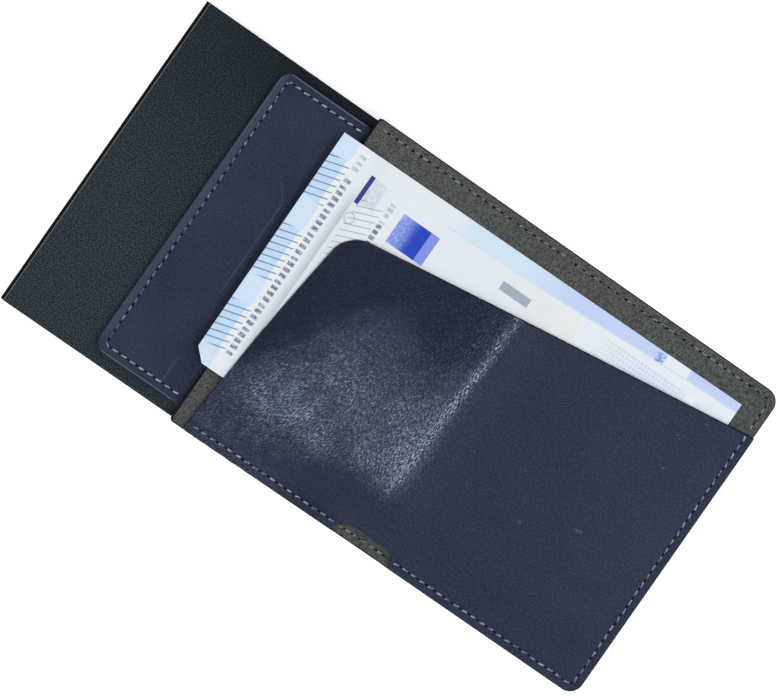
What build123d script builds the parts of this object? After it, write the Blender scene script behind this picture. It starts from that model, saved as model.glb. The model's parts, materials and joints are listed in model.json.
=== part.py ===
from build123d import *

import os
from math import cos, radians, sin, tan

# A trifold wallet lying open. An aluminium card case carries a leather patch on its front, and a
# banknote section hinges at the patch's right end, on the leather that joins them. The section is
# outer leather, suede liner, notes and pocket front. It folds to the left over the case's front, its
# side strip then runs down the case's left side, and its flap closes on the case's back.
#
# Plan coordinates: u runs right from the section's left edge, v up from its bottom edge, and z up
# from the surface the wallet lies on. Within the section w is the height above the underside of
# its outer leather. Everything is moved at export so that the origin is under the whole wallet.

# Card case
CASE_LEFT, CASE_RIGHT = -54.5, 9.5
CASE_BOTTOM, CASE_TOP = 1.0, 97.0
CASE_DEPTH = 8.0
WALL = 0.9
CASE_EDGE_RADIUS = 0.3
CARD_CHANNEL = 54.6
RAIL_TOP_SETBACK = 1.0
RAIL_MOUTH_CHAMFER = 1.0
RAIL_LEVER_GAP = 0.7
CAP_TOP = 5.0

# Eject lever
PIVOT_U, PIVOT_V = 5.2, 8.3
PIN_RADIUS = 0.8
PIN_PLAY = 0.05
HUB_RADIUS = 2.4
CAP_PLATE = 0.6
CAP_PLATE_TOP = 10.4
CAP_PLATE_OVERLAP = 2.0
CAP_ROOM_OVERLAP = 3.0
LEVER_PLAY = 0.15
FINGER_REACHES = (49.4, 37.0, 25.0)
FINGER_TIP_WIDTH = 2.8
LEVER_TOP = 10.3
TAB_WIDTH = 4.0
TAB_RADIUS = 7.1
TAB_SLOT = (-0.2, 7.95)
NOTCH_RADIUS = 6.0

# Card brake pads and the steel plate that the closure magnets hold to
PAD_SIZE = (10.0, 6.0, 0.4)
PAD_CORNER = 1.5
PAD_CENTRES = ((-39.0, 90.0), (-6.0, 90.0))
KEEPER_SIZE = (16.0, 44.0, 0.3)
KEEPER_CORNER = 2.0
KEEPER_CENTRE = (-10.0, 49.0)

# Leather patch on the case's front
PATCH_LEFT, PATCH_RIGHT = -27.9, -1.0
PATCH_BOTTOM, PATCH_TOP = 4.6, 94.2
PATCH_CORNER = 3.5
ADHESIVE = 0.1
ADHESIVE_INSET = 1.0
PATCH_LEATHER = 1.2
PATCH_SEAM_END = 0.5

# Banknote section, as a flat stack
SHEET_LENGTH, SHEET_HEIGHT = 135.3, 98.0
OUTER, LINER, NOTE, POCKET = 1.0, 0.6, 0.12, 0.9
LINER_TOP = OUTER + LINER
NOTES_TOP = LINER_TOP + 2 * NOTE
STACK = NOTES_TOP + POCKET
MID = STACK / 2
RIGHT_CORNER, LEFT_CORNER = 4.0, 1.0

# Folds: where each crosses the section, and how the panels slope when it lies open
HINGE_U, BEND1_U, BEND2_U = 0.6, 58.5, 72.0
MIDDLE_SLOPE = 8.7
SIDE_SLOPE = MIDDLE_SLOPE / 2
BEND_RANGE = 90 - SIDE_SLOPE
BEND_GAP = 0.15

# Leather at the case fold: a spine next to the patch and a lap next to the section. Each turns by
# half the section's angle about the same axis, so the two stay side by side.
SPINE_WIDTH, SPINE_LEATHER = 2.4, 0.95
SPINE_GAP = 0.1
SPINE_TOP_RADIUS = 1.75

# Pocket front
POCKET_LEFT_FOOT = (4.1, 0.0)
POCKET_LEFT_HEAD = (10.5, 68.0)
POCKET_RIGHT_HEAD = (SHEET_LENGTH, 84.8)
POCKET_CORNER = 7.0
POCKET_MARGIN = 4.6
NOTCH_CENTRE, NOTCH_WIDTH, NOTCH_HEIGHT, NOTCH_CORNER = 63.8, 18.4, 4.3, 3.0

# Notes
LARGE_NOTE = (133.0, 72.0, (61.0, 53.8), 0.45)
SMALL_NOTE = (120.0, 62.0, (66.6, 53.3), 0.0)

# Seams
SEAM_INSET = 2.3
THREAD_WIDTH, THREAD_HEIGHT = 0.45, 0.15
SEAM_BREAK = 0.4
NOTCH_SEAM_BREAK = 0.2

# Closure magnets, sunk into the flap's outer leather
MAGNET_RADIUS, MAGNET_DEPTH = 4.0, 0.8
MAGNET_CENTRES = ((120.0, 33.0), (120.0, 65.0))

# Pivots of the three folds, as (u, z), and the origin
SIDE_LENGTH = BEND2_U - BEND1_U
MIDDLE_LENGTH = BEND1_U - HINGE_U
BEND2_Z = MID
BEND1_Z = BEND2_Z + SIDE_LENGTH * sin(radians(SIDE_SLOPE))
HINGE_Z = BEND1_Z + MIDDLE_LENGTH * sin(radians(MIDDLE_SLOPE))
BEND1_X = HINGE_U + MIDDLE_LENGTH * cos(radians(MIDDLE_SLOPE))
BEND2_X = BEND1_X + SIDE_LENGTH * cos(radians(SIDE_SLOPE))
SECTION_RIGHT = BEND2_X + SHEET_LENGTH - BEND2_U
ORIGIN_X = (CASE_LEFT + SECTION_RIGHT) / 2
ORIGIN_Y = SHEET_HEIGHT / 2


def rectangle(u_low, u_high, v_low, v_high):
    """A flat rectangle between two u and two v."""
    middle = Pos((u_low + u_high) / 2, (v_low + v_high) / 2)
    return middle * Rectangle(u_high - u_low, v_high - v_low)


def slab(outline, low, high):
    """A flat outline made solid between two heights."""
    return Pos(0, 0, low) * extrude(outline, amount=high - low)


def block(u_low, u_high, v_low, v_high, z_low, z_high):
    return slab(rectangle(u_low, u_high, v_low, v_high), z_low, z_high)


def save(name, *solids):
    """Writes one node, moved to the wallet's own origin."""
    moved = [Pos(-ORIGIN_X, -ORIGIN_Y, 0) * solid for each in solids for solid in each.solids()]
    export_step(moved[0] if len(moved) == 1 else Compound(children=moved), f"parts/{name}.step")


# ---------------------------------------------------------------- card case

def case_shell():
    """An extruded aluminium tube, open at the mouth and at the foot, with a thumb notch."""
    outside = block(CASE_LEFT, CASE_RIGHT, CASE_BOTTOM, CASE_TOP, 0, CASE_DEPTH)
    outside = fillet(outside.edges().filter_by(Axis.Y), CASE_EDGE_RADIUS)
    hollow = block(CASE_LEFT + WALL, CASE_RIGHT - WALL, CASE_BOTTOM - 1, CASE_TOP + 1,
                   WALL, CASE_DEPTH - WALL)
    notch_centre = Pos(sum(TAB_SLOT) / 2, CASE_BOTTOM - NOTCH_RADIUS / 2)
    notch = slab(notch_centre * Circle(NOTCH_RADIUS), -1, WALL)
    return outside - hollow - notch


def lever_room():
    """The space in the end cap that the lever's hub and tab move in."""
    low, high = WALL + CAP_PLATE, CASE_DEPTH - WALL - CAP_PLATE
    return block(*TAB_SLOT, CASE_BOTTOM - 1, CAP_PLATE_TOP + 1, low, high)


def end_cap():
    """The moulded plug in the tube's foot, with two plates that hold the lever's pin."""
    low, high = WALL, CASE_DEPTH - WALL
    left, right = CASE_LEFT + WALL, CASE_RIGHT - WALL
    plug = block(left, TAB_SLOT[0], CASE_BOTTOM, CAP_TOP, low, high)
    plates = block(TAB_SLOT[0] - CAP_PLATE_OVERLAP, right, CASE_BOTTOM, CAP_PLATE_TOP, low, high)
    notch_centre = Pos(sum(TAB_SLOT) / 2, CASE_BOTTOM - NOTCH_RADIUS / 2)
    notch = slab(notch_centre * Circle(NOTCH_RADIUS), 0, WALL + CAP_PLATE)
    room = lever_room() + block(TAB_SLOT[0] - CAP_ROOM_OVERLAP, TAB_SLOT[1], CAP_TOP,
                                CAP_PLATE_TOP + 1, low + CAP_PLATE, high - CAP_PLATE)
    pin_hole = slab(Pos(PIVOT_U, PIVOT_V) * Circle(PIN_RADIUS), 0, CASE_DEPTH)
    return plug + plates - room - notch - pin_hole


def guide_rail(left_side):
    """A bar that narrows the tube to a card's width."""
    side = (CASE_RIGHT - CASE_LEFT - 2 * WALL - CARD_CHANNEL) / 2
    low, high = WALL, CASE_DEPTH - WALL
    top = CASE_TOP - RAIL_TOP_SETBACK
    if left_side:
        left = CASE_LEFT + WALL
        bar = block(left, left + side, CAP_TOP, top, low, high)
    else:
        right = CASE_RIGHT - WALL
        foot = PIVOT_V + HUB_RADIUS + RAIL_LEVER_GAP
        bar = block(right - side, right, foot, top, low, high)
    mouth = bar.edges().filter_by(Axis.Z).sort_by(Axis.Y)[-2:]
    return chamfer(mouth, RAIL_MOUTH_CHAMFER)


def lever_pivot_pin():
    return slab(Pos(PIVOT_U, PIVOT_V) * Circle(PIN_RADIUS), WALL, CASE_DEPTH - WALL)


def eject_lever():
    """A hub with three stacked fingers of stepped reach, and a thumb tab at the case's foot."""
    low = WALL + CAP_PLATE + LEVER_PLAY
    high = CASE_DEPTH - low
    step = (high - low) / len(FINGER_REACHES)
    hub = slab(Pos(PIVOT_U, PIVOT_V) * Circle(HUB_RADIUS), low, high)
    lever = hub
    for number, reach in enumerate(FINGER_REACHES):
        tip = PIVOT_U - reach
        finger = make_face(Polyline(
            (PIVOT_U, PIVOT_V - HUB_RADIUS), (tip + 1, LEVER_TOP - FINGER_TIP_WIDTH),
            (tip, LEVER_TOP - FINGER_TIP_WIDTH + 1), (tip, LEVER_TOP), (PIVOT_U, LEVER_TOP),
            close=True))
        lever += slab(finger, low + number * step, low + (number + 1) * step)
    disc = slab(Pos(PIVOT_U, PIVOT_V) * Circle(TAB_RADIUS), low, high)
    tab = block(PIVOT_U - TAB_WIDTH / 2, PIVOT_U + TAB_WIDTH / 2, 0, PIVOT_V, low, high)
    bore = slab(Pos(PIVOT_U, PIVOT_V) * Circle(PIN_RADIUS + PIN_PLAY), 0, CASE_DEPTH)
    return lever + (tab & disc) - bore


def card_brake_pads():
    """Two felt pads inside the front wall, near the mouth, that keep cards from sliding out."""
    width, height, thick = PAD_SIZE
    top = CASE_DEPTH - WALL
    return [slab(Pos(*centre) * RectangleRounded(width, height, PAD_CORNER), top - thick, top)
            for centre in PAD_CENTRES]


def magnet_keeper_plate():
    width, height, thick = KEEPER_SIZE
    outline = Pos(*KEEPER_CENTRE) * RectangleRounded(width, height, KEEPER_CORNER)
    return slab(outline, WALL, WALL + thick)


def patch_outline(inset):
    """The patch's outline, square at the end that runs on into the section."""
    whole = rectangle(PATCH_LEFT + inset, PATCH_RIGHT, PATCH_BOTTOM + inset, PATCH_TOP - inset)
    return fillet(whole.vertices().sort_by(Axis.X)[:2], PATCH_CORNER - inset)


def patch_adhesive():
    return slab(patch_outline(ADHESIVE_INSET), CASE_DEPTH, CASE_DEPTH + ADHESIVE)


def patch_leather():
    """The patch, skived round its rim so that the rim meets the case past the adhesive."""
    top = CASE_DEPTH + ADHESIVE + PATCH_LEATHER
    return slab(patch_outline(0), CASE_DEPTH, top) - patch_adhesive()


def patch_thread():
    half = THREAD_WIDTH / 2
    band = patch_outline(SEAM_INSET - half) - patch_outline(SEAM_INSET + half)
    top = CASE_DEPTH + ADHESIVE + PATCH_LEATHER
    return slab(band & rectangle(PATCH_LEFT, PATCH_RIGHT - PATCH_SEAM_END, 0, SHEET_HEIGHT),
                top, top + THREAD_HEIGHT)


def fold_leather(low, high):
    """Leather under the case fold's axis, between two distances to the right of the axis."""
    top = HINGE_Z - SPINE_TOP_RADIUS
    return block(HINGE_U + low, HINGE_U + high, PATCH_BOTTOM, PATCH_TOP,
                 top - SPINE_LEATHER, top)


def leather_spine():
    return fold_leather(-SPINE_WIDTH / 2, -SPINE_GAP / 2)


def leather_lap():
    return fold_leather(SPINE_GAP / 2, SPINE_WIDTH / 2)


# ---------------------------------------------------------------- banknote section

def on_panel(panel, flat):
    """Places a piece of the flat stack on its sloping panel."""
    pivot, place, slope = {
        "middle": (HINGE_U, (HINGE_U, HINGE_Z), MIDDLE_SLOPE),
        "side": (BEND1_U, (BEND1_X, BEND1_Z), SIDE_SLOPE),
        "flap": (BEND2_U, (BEND2_X, BEND2_Z), 0),
    }[panel]
    return Pos(place[0], 0, place[1]) * Rot(0, slope, 0) * Pos(-pivot, 0, -MID) * flat


def panel_span(panel, top):
    """The u range of a panel for a layer whose top is this high in the stack.

    A layer above the fold's axis stands back from the fold, so that it has room to turn in."""
    back = BEND_GAP + max(0, top - MID) * tan(radians(BEND_RANGE / 2))
    return {"middle": (HINGE_U - 10, BEND1_U - back), "side": (BEND1_U + back, BEND2_U - back),
            "flap": (BEND2_U + back, SHEET_LENGTH + 1)}[panel]


def layer(panel, outline, low, high):
    """One panel's part of a layer, cut from the whole layer's outline."""
    span = panel_span(panel, high)
    return slab(outline & rectangle(*span, -1, SHEET_HEIGHT + 1), low, high)


def section_outline():
    sheet = rectangle(0, SHEET_LENGTH, 0, SHEET_HEIGHT)
    sheet = fillet(sheet.vertices().sort_by(Axis.X)[-2:], RIGHT_CORNER)
    return fillet(sheet.vertices().sort_by(Axis.X)[:2], LEFT_CORNER)


def pocket_outline():
    """The pocket front: open at its left edge and its sloping top, with a notch at the fold."""
    front = make_face(Polyline(POCKET_LEFT_FOOT, POCKET_LEFT_HEAD, POCKET_RIGHT_HEAD,
                               (SHEET_LENGTH, 0), close=True))
    front = fillet(front.vertices().sort_by_distance(POCKET_LEFT_HEAD)[0], POCKET_CORNER)
    front = fillet(front.vertices().sort_by_distance((SHEET_LENGTH, 0))[0], RIGHT_CORNER)
    left, right = NOTCH_CENTRE - NOTCH_WIDTH / 2, NOTCH_CENTRE + NOTCH_WIDTH / 2
    notch = rectangle(left, right, -NOTCH_HEIGHT, NOTCH_HEIGHT)
    return front - fillet(notch.vertices().sort_by(Axis.Y)[-2:], NOTCH_CORNER)


def outer_leather(panel):
    leather = layer(panel, section_outline(), 0, OUTER)
    if panel == "flap":
        for centre in MAGNET_CENTRES:
            leather -= slab(Pos(*centre) * Circle(MAGNET_RADIUS), OUTER - MAGNET_DEPTH, OUTER)
    return leather


def liner(panel):
    return layer(panel, section_outline(), OUTER, LINER_TOP)


def pocket_front(panel):
    """The front lies over the notes, and its margin is turned down to the liner at the seams."""
    outline = pocket_outline()
    inside = rectangle(-1, SHEET_LENGTH - POCKET_MARGIN, POCKET_MARGIN, SHEET_HEIGHT)
    cover = layer(panel, outline, NOTES_TOP, STACK)
    span = panel_span(panel, STACK)
    margin = (outline - inside) & rectangle(*span, -1, SHEET_HEIGHT)
    return cover + slab(margin, LINER_TOP, NOTES_TOP)


def note_outline(size):
    width, height, centre, turn = size
    return Pos(*centre) * Rot(0, 0, turn) * Rectangle(width, height)


def large_note(panel):
    outline = note_outline(LARGE_NOTE) & rectangle(HINGE_U, SHEET_LENGTH, 0, SHEET_HEIGHT)
    return layer(panel, outline, LINER_TOP, LINER_TOP + NOTE)


def large_note_tip():
    """The end of the large note that stands out past the fold, over the patch."""
    outline = note_outline(LARGE_NOTE) & rectangle(-10, HINGE_U - BEND_GAP, 0, SHEET_HEIGHT)
    return slab(outline, LINER_TOP, LINER_TOP + NOTE)


def small_note(panel):
    return layer(panel, note_outline(SMALL_NOTE), LINER_TOP + NOTE, NOTES_TOP)


def seam_band(bottom):
    """The line of the seam along the bottom or the top edge and the right edge, as a band."""
    half = THREAD_WIDTH / 2
    rows = section_outline()
    band = offset(rows, -(SEAM_INSET - half)) - offset(rows, -(SEAM_INSET + half))
    split = POCKET_RIGHT_HEAD[1]
    low, high = (0, split - SEAM_BREAK) if bottom else (split + SEAM_BREAK, SHEET_HEIGHT)
    left = POCKET_LEFT_FOOT[0] + 1 if bottom else SEAM_INSET - half
    right_edge = rectangle(BEND2_U, SHEET_LENGTH, low, high)
    along = (0, SEAM_INSET + 1) if bottom else (SHEET_HEIGHT - SEAM_INSET - 1, SHEET_HEIGHT)
    return band & (rectangle(left + half, BEND2_U, *along) + right_edge)


def seam_thread(panel):
    """The panel's seams: on the pocket front, on the liner above it, and across the notch."""
    half = NOTCH_WIDTH / 2
    outer, inner = half + NOTCH_SEAM_BREAK, half - NOTCH_SEAM_BREAK
    notch = rectangle(NOTCH_CENTRE - outer, NOTCH_CENTRE + outer, 0, NOTCH_HEIGHT)
    within = rectangle(NOTCH_CENTRE - inner, NOTCH_CENTRE + inner, 0, NOTCH_HEIGHT)
    threads = [layer(panel, seam_band(False), LINER_TOP, LINER_TOP + THREAD_HEIGHT),
               layer(panel, seam_band(True) & within, LINER_TOP, LINER_TOP + THREAD_HEIGHT)]
    if panel != "side":
        threads.append(layer(panel, seam_band(True) - notch, STACK, STACK + THREAD_HEIGHT))
    return threads


def closure_magnets():
    return [slab(Pos(*centre) * Circle(MAGNET_RADIUS), OUTER - MAGNET_DEPTH, OUTER)
            for centre in MAGNET_CENTRES]


# ---------------------------------------------------------------- write the nodes

os.makedirs("parts", exist_ok=True)

save("case_shell", case_shell())
save("end_cap", end_cap())
save("guide_rail_left", guide_rail(True))
save("guide_rail_right", guide_rail(False))
save("lever_pivot_pin", lever_pivot_pin())
save("eject_lever", eject_lever())
save("card_brake_pads", *card_brake_pads())
save("magnet_keeper_plate", magnet_keeper_plate())
save("patch_adhesive", patch_adhesive())
save("patch_leather", patch_leather())
save("patch_thread", patch_thread())
save("leather_spine", leather_spine())
save("leather_lap", leather_lap())

for panel in ("middle", "side", "flap"):
    save(f"outer_leather_{panel}", on_panel(panel, outer_leather(panel)))
    save(f"liner_{panel}", on_panel(panel, liner(panel)))
    save(f"pocket_front_{panel}", on_panel(panel, pocket_front(panel)))
    save(f"large_note_{panel}", on_panel(panel, large_note(panel)))
    save(f"small_note_{panel}", on_panel(panel, small_note(panel)))
    save(f"seam_thread_{panel}", *[on_panel(panel, thread) for thread in seam_thread(panel)])

save("large_note_tip", on_panel("middle", large_note_tip()))
save("closure_magnets", *[on_panel("flap", magnet) for magnet in closure_magnets()])

print(f"case_fold pivot: {HINGE_U - ORIGIN_X:.4f}, {HINGE_Z:.4f}")
print(f"first_bend pivot: {BEND1_X - ORIGIN_X:.4f}, {BEND1_Z:.4f}")
print(f"second_bend pivot: {BEND2_X - ORIGIN_X:.4f}, {BEND2_Z:.4f}")
print(f"eject_lever pivot: {PIVOT_U - ORIGIN_X:.4f}, {PIVOT_V - ORIGIN_Y:.4f}")
print(f"fold range, twice {90 + MIDDLE_SLOPE / 2:.2f}, bend range {BEND_RANGE:.2f}, origin {ORIGIN_X:.4f}")
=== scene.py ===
import json
from math import cos, pi, radians, sin

import bpy
import numpy as np
from mathutils import Matrix, Vector


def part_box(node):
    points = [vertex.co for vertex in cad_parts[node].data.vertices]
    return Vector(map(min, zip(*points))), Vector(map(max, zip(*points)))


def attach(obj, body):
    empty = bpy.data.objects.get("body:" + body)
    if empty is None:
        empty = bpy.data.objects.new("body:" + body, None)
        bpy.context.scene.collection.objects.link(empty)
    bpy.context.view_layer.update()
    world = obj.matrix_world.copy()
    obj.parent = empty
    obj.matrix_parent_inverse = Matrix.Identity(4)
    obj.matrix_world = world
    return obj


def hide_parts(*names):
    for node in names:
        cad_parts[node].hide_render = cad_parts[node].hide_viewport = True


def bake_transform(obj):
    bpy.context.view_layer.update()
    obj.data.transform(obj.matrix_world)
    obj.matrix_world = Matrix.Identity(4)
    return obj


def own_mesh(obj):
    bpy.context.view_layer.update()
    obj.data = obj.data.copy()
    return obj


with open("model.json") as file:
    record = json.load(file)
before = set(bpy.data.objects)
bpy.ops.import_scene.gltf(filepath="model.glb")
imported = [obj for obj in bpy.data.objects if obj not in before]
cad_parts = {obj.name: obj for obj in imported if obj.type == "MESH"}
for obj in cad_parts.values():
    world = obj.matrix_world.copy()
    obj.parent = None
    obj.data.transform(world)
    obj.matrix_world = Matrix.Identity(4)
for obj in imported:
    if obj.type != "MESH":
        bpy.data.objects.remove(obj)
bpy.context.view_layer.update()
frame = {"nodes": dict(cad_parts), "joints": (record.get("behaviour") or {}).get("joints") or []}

# Lengths are in millimetres until a point is placed. u runs right from the banknote section's left
# edge, v up from its bottom edge, z up from the table, and w up from the underside of the section.
MM = 0.001
CASE_LEFT, CASE_RIGHT = -54.5, 9.5
CASE_TOP_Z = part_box("case_shell")[1].z / MM
SECTION_HEIGHT, SECTION_LENGTH = 98.0, 135.3
ORIGIN_U = CASE_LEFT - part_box("case_shell")[0].x / MM
ORIGIN_V = SECTION_HEIGHT / 2

# The stack of the section, and the folds
OUTER, LINER, NOTE, POCKET = 1.0, 0.6, 0.12, 0.9
LINER_TOP = OUTER + LINER
MID = (LINER_TOP + 2 * NOTE + POCKET) / 2
HINGE_U, BEND1_U, BEND2_U = 0.6, 58.5, 72.0
SPLIT_U = (BEND1_U + BEND2_U) / 2
MIDDLE_SLOPE, SIDE_SLOPE = 8.7, 4.35
BEND_HALF = 3.2
HINGE_Z = frame["joints"][0]["pos_m"][2] / MM

PITCH, STITCH, THREAD = 2.8, 1.95, 0.5
SEAM_INSET = 2.3
RIGHT_SEAM_U, TOP_SEAM_V = SECTION_LENGTH - SEAM_INSET, SECTION_HEIGHT - SEAM_INSET
CORNER, SEAM_CORNER = 4.0, 1.7
RANDOM = np.random.default_rng(11)


# ---------------------------------------------------------------- places

def smooth(x, low, high):
    """0 below low, 1 above high, and a smooth rise between."""
    t = np.clip((x - low) / (high - low), 0, 1)
    return t * t * (3 - 2 * t)


def hump(x, middle, half):
    """A smooth hump, 1 at its middle and 0 beyond its half width."""
    return 1 - smooth(np.abs(x - middle), 0, half)


def place(u, v, z):
    """Points in millimetres, as metres in the wallet's own frame."""
    u, v, z = np.broadcast_arrays(u, v, z)
    return np.stack([(u - ORIGIN_U) * MM, (v - ORIGIN_V) * MM, z * MM], axis=-1)


STEP = 0.1
STATIONS = np.arange(-12, 145, STEP)
SLOPES = np.radians(MIDDLE_SLOPE
                    - (MIDDLE_SLOPE - SIDE_SLOPE) * smooth(STATIONS, BEND1_U - 4, BEND1_U + 4)
                    - SIDE_SLOPE * smooth(STATIONS, BEND2_U - 4, BEND2_U + 4))


def along(steps):
    """Adds up steps along the section, counted from the hinge."""
    total = np.concatenate([[0], np.cumsum((steps[1:] + steps[:-1]) / 2 * STEP)])
    return total - np.interp(HINGE_U, STATIONS, total)


LINE_U = HINGE_U + along(np.cos(SLOPES))
LINE_Z = HINGE_Z - along(np.sin(SLOPES))


def on_section(u, v, w):
    """Points of the section: u along its sheets, v up it and w above its underside."""
    slope = np.interp(u, STATIONS, SLOPES)
    rise = w - MID
    return place(np.interp(u, STATIONS, LINE_U) + rise * np.sin(slope), v,
                 np.interp(u, STATIONS, LINE_Z) + rise * np.cos(slope))


def on_case(u, v, height):
    """Points this far above the case's front."""
    return place(u, v, CASE_TOP_Z + height)


# ---------------------------------------------------------------- modelling

def deselect():
    bpy.ops.object.select_all(action="DESELECT")


def select(*pieces):
    deselect()
    for piece in pieces:
        piece.select_set(True)
    bpy.context.view_layer.objects.active = pieces[0]


def modify(piece, kind, **settings):
    """Adds a modifier and applies it."""
    modifier = piece.modifiers.new(kind.lower(), kind)
    for name, value in settings.items():
        setattr(modifier, name, value)
    select(piece)
    bpy.ops.object.modifier_apply(modifier=modifier.name)


def edit(piece):
    select(piece)
    bpy.ops.object.mode_set(mode="EDIT")
    bpy.ops.mesh.select_mode(type="FACE")
    bpy.ops.mesh.select_all(action="SELECT")


def leave_edit():
    bpy.ops.object.mode_set(mode="OBJECT")


def round_shading(piece, angle=38):
    select(piece)
    bpy.ops.object.shade_smooth_by_angle(angle=radians(angle))


def sheet_grid(name, columns, rows):
    """A flat grid, with how far across and up each of its points is, from 0 to 1."""
    deselect()
    bpy.ops.mesh.primitive_grid_add(x_subdivisions=columns, y_subdivisions=rows, size=2)
    piece = bpy.context.object
    piece.name = piece.data.name = name
    points = np.array([vertex.co for vertex in piece.data.vertices])
    return piece, (points[:, 0] + 1) / 2, (points[:, 1] + 1) / 2


def set_points(piece, points):
    piece.data.vertices.foreach_set("co", np.ascontiguousarray(points, np.float32).ravel())
    piece.data.update()


def set_pattern(piece, across, up):
    """Writes the piece's own pattern coordinates, in centimetres of flat sheet."""
    corner = np.zeros(len(piece.data.loops), np.int32)
    piece.data.loops.foreach_get("vertex_index", corner)
    pattern = np.stack([across[corner], up[corner]], axis=-1) * 0.1
    piece.data.uv_layers.active.data.foreach_set("uv", pattern.astype(np.float32).ravel())


def round_corners(p, q, width, height, radii):
    """Rounds the corners of a grid on a rectangle: radii are bottom left, bottom right, top left
    and top right. The square at each corner is drawn in to a quarter of a disc."""
    p, q = p.copy(), q.copy()
    corners = ((0, 0), (1, 0), (0, 1), (1, 1))
    for radius, (right, top) in zip(radii, corners):
        if not radius:
            continue
        centre_p = width - radius if right else radius
        centre_q = height - radius if top else radius
        a = (p - centre_p) / radius * (1 if right else -1)
        b = (q - centre_q) / radius * (1 if top else -1)
        near = (a > 0) & (b > 0)
        x, y = a * np.sqrt(np.clip(1 - b * b / 2, 0, 1)), b * np.sqrt(np.clip(1 - a * a / 2, 0, 1))
        p = np.where(near, centre_p + x * radius * (1 if right else -1), p)
        q = np.where(near, centre_q + y * radius * (1 if top else -1), q)
    return p, q


def round_edges(piece, width):
    modify(piece, "BEVEL", width=width * MM, segments=3, limit_method="ANGLE",
           angle_limit=radians(50))


def thicken(piece, thickness, edge, **settings):
    """Gives a sheet its thickness below its face, and rounds its edges."""
    modify(piece, "SOLIDIFY", thickness=thickness * MM, offset=-1, use_even_offset=True, **settings)
    if edge:
        round_edges(piece, edge)
    round_shading(piece)


def halves(piece, u, names):
    """Cuts a piece in two where it crosses u, as two closed pieces with a hair of overlap."""
    pair = [piece, piece.copy()]
    pair[1].data = piece.data.copy()
    bpy.context.collection.objects.link(pair[1])
    x = float(place(np.array([u]), 0, 0)[0, 0])
    for half, name, side in zip(pair, names, (True, False)):
        half.name = half.data.name = name
        edit(half)
        cut = x + 0.02 * MM if side else x
        bpy.ops.mesh.bisect(plane_co=(cut, 0, 0), plane_no=(1, 0, 0), use_fill=True,
                            clear_outer=side, clear_inner=not side)
        leave_edit()
        round_shading(half)
    return pair


def copies(template, places, name, stray=0.0):
    """Copies a small part to each place, and joins the copies into one piece. Hand-set parts
    stray by up to this many degrees, and a little to the side."""
    made = []
    for matrix in places:
        if stray:
            side, sink = RANDOM.uniform(-0.012, 0.012, 2) * stray * MM
            turn = Matrix.Rotation(radians(RANDOM.uniform(-stray, stray)), 4, "Z")
            matrix = matrix @ Matrix.Translation((0, side, sink * 0.5)) @ turn
        part = template.copy()
        part.data = template.data.copy()
        part.data.transform(matrix)
        bpy.context.collection.objects.link(part)
        made.append(part)
    select(*made)
    bpy.ops.object.join()
    piece = bpy.context.object
    piece.name = piece.data.name = name
    return piece


# ---------------------------------------------------------------- the section's sheets

def groove(x, seam):
    """Where a seam pulls a sheet in, to both sides of its line."""
    return hump(x, seam, 1.3)


def mouth_lift(u, v):
    """How far the pocket front stands off the notes, which is most at its open edges."""
    body = smooth(v, 4.5, 22) * (1 - smooth(u, 118, 130.5))
    belly = (0.10 * hump(u, 16, 24) + 0.36 * hump(u, 50, 20) + 0.10 * hump(u, 66, 10)
             + 0.22 * hump(u, 100, 34))
    return body * belly


def crease_line(u, v):
    """The bright crease that the closed wallet has left where the front turns down the side."""
    middle = 59.0 + 2.2 * smooth(v, 20, 75) + 0.4 * np.sin(v / 7.0)
    strength = smooth(v, 8, 24)
    return strength * (0.10 * hump(u, middle, 3.0) - 0.05 * hump(u, middle - 5.0, 4.0))


def pocket_ripples(u, v):
    """Soft hollows and folds in the front, and the pull of its bottom seam."""
    soft = 0.07 * np.sin(u / 5.3 + 0.8 * np.sin(v / 11)) * np.sin(v / 8.0 + u / 23)
    soft += 0.05 * np.sin(u / 2.6 + v / 6.1) * np.sin(v / 3.7 - u / 9)
    middle = hump(u, 34, 30) * smooth(v, 6, 20)
    pull = 0.09 * np.sin(u * 1.12 + 0.9 * np.sin(u / 3.1)) * hump(v, 5.6, 4.6) * smooth(u, 5, 9)
    flap = 0.03 * np.sin(u / 7.1 + v / 13) * smooth(u, 74, 84) * smooth(v, 6, 16)
    return soft * middle + pull * (1 - smooth(u, 30, 52)) + flap


def pocket_top(u, v):
    """The height of the pocket front's face."""
    seated = LINER_TOP + POCKET
    over_notes = smooth(v, 5, 17) * (1 - smooth(u, 127.0, 131.0))
    seam = groove(v, SEAM_INSET) * 0.10 + groove(u, RIGHT_SEAM_U) * 0.10
    return (seated + (2 * NOTE + 0.10) * over_notes + mouth_lift(u, v) + crease_line(u, v)
            + pocket_ripples(u, v) - seam)


def liner_top(u, v):
    top_seam = groove(v, TOP_SEAM_V)
    right_seam = groove(u, RIGHT_SEAM_U) * smooth(v, 84, 86)
    return LINER_TOP - 0.08 * np.maximum(top_seam, right_seam)


def section_sheet(name, inset, top, thickness, edge):
    """A sheet with the whole section's outline, in by this much, with its face at a height."""
    width, height = SECTION_LENGTH - 2 * inset, SECTION_HEIGHT - 2 * inset
    piece, s, t = sheet_grid(name, 136, 98)
    p, q = round_corners(s * width, t * height, width, height,
                         (1.0, CORNER - inset, 1.0, CORNER - inset))
    u, v = p + inset, q + inset
    set_points(piece, on_section(u, v, top(u, v)))
    set_pattern(piece, u, v)
    thicken(piece, thickness, edge)
    return piece


def outer_leather():
    """The section's outer leather, whose painted edge shows all round the liner."""
    piece = section_sheet("outer_leather", 0, lambda u, v: np.full_like(u, OUTER), OUTER, 0.28)
    return halves(piece, SPLIT_U, ("outer_leather_front", "outer_leather_flap_side"))


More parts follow.
